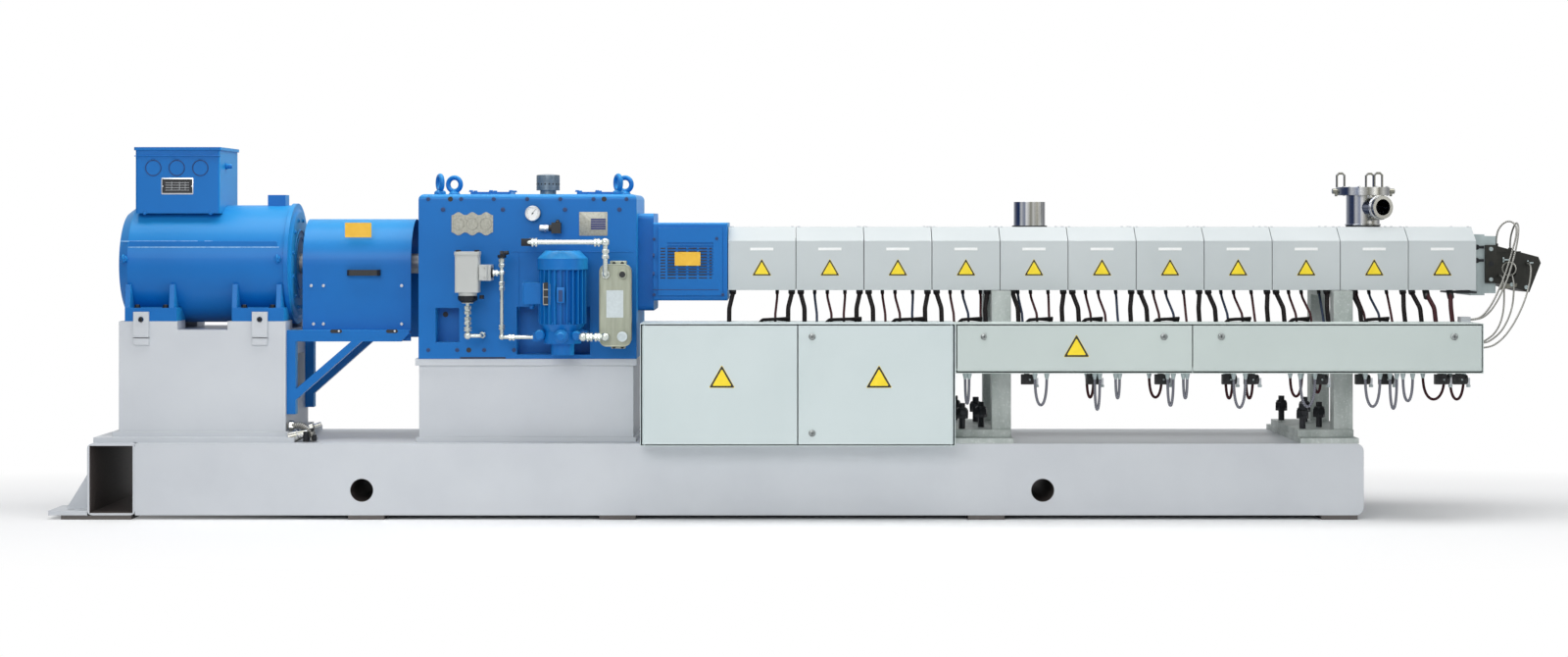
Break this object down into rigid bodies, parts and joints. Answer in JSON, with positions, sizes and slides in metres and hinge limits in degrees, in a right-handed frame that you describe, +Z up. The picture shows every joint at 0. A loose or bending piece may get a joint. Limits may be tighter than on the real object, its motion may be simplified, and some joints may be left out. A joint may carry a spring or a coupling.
{
  "type": "plastic extruder",
  "caption": "Twin screw plastic extruder on a steel base, with drive motor, gearbox, heated barrel under covers, vents, strand die and front cabinet.",
  "frame": {"origin": "floor level under the shaft axis, at the middle of the third sole strip", "axes": "+X along the screws towards the die, -Y the operator side with the cabinet, +Z up"},
  "size_m": [6.562, 0.966, 1.623],
  "materials": {
    "blue_enamel": "gloss paint",
    "grey_enamel": "satin paint",
    "cabinet_paint": "powder coat",
    "cover_paint": "powder coat",
    "bare_steel": "machined",
    "dark_steel": "blackened",
    "filter_alloy": "satin",
    "black_plastic": "matt",
    "braided_hose": "braided"
  },
  "bodies": {
    "root": {"anchor_feet": "grey_enamel", "barrel": "bare_steel", "barrel_covers": "cover_paint", "base_end_tube": "grey_enamel", "base_frame": "grey_enamel", "breather": "filter_alloy", "cabinet_body": "cabinet_paint", "cooling_valves": "black_plastic", "coupling": "bare_steel", "coupling_guard": "blue_enamel", "cover_brackets": "bare_steel", "die_adapter": "bare_steel", "die_head": "dark_steel", "die_lead_a": "braided_hose", "die_lead_b": "braided_hose", "die_lead_c": "braided_hose", "die_lead_d": "braided_hose", "die_lead_e": "braided_hose", "eye_bolts": "blue_enamel", "gearbox_housing": "blue_enamel", "gearbox_pedestal": "grey_enamel", "guard_brackets": "blue_enamel", "guard_handle": "black_plastic", "heat_exchanger": "filter_alloy", "inspection_plates": "blue_enamel", "jack_brackets": "grey_enamel", "jack_studs": "bare_steel", "lantern_housing": "blue_enamel", "lead_glands": "bare_steel", "motor_body": "blue_enamel", "motor_pad_plate": "grey_enamel", "motor_pedestal": "grey_enamel", "motor_terminal_box": "blue_enamel", "oil_filter": "filter_alloy", "oil_gauge": "black_plastic", "oil_pipes": "bare_steel", "oil_pump": "blue_enamel", "oil_sensor": "black_plastic", "output_flange": "blue_enamel", "pump_motor": "blue_enamel", "sole_strips": "dark_steel", "support_stand_left": "bare_steel", "support_stand_right": "bare_steel", "trough_body": "cabinet_paint", "vacuum_lid": "bare_steel", "vacuum_port": "bare_steel", "valve_fittings": "bare_steel", "valve_loops_grey": "braided_hose", "valve_loops_red": "braided_hose", "vent_tube": "bare_steel", "water_hose": "bare_steel", "zone_hoses": "braided_hose"},
    "cabinet_door_left": {"cabinet_door_left": "cabinet_paint"},
    "cabinet_door_right": {"cabinet_door_right": "cabinet_paint"},
    "trough_flap_left": {"trough_flap_left": "cabinet_paint"},
    "trough_flap_right": {"trough_flap_right": "cabinet_paint"}
  },
  "joints": [
    {"name": "cabinet_left_hinge", "type": "hinge", "parent": "root", "child": "cabinet_door_left", "pos_m": [0.124, -0.54, 0.593], "axis": [0, 0, -1], "range_deg": [0, 90]},
    {"name": "cabinet_right_hinge", "type": "hinge", "parent": "root", "child": "cabinet_door_right", "pos_m": [1.442, -0.54, 0.593], "axis": [0, 0, 1], "range_deg": [0, 90]},
    {"name": "trough_left_hinge", "type": "hinge", "parent": "root", "child": "trough_flap_left", "pos_m": [1.96894, -0.54, 0.66], "axis": [1, 0, 0], "range_deg": [0, 90]},
    {"name": "trough_right_hinge", "type": "hinge", "parent": "root", "child": "trough_flap_right", "pos_m": [3.10244, -0.54, 0.66], "axis": [1, 0, 0], "range_deg": [0, 90]}
  ]
}
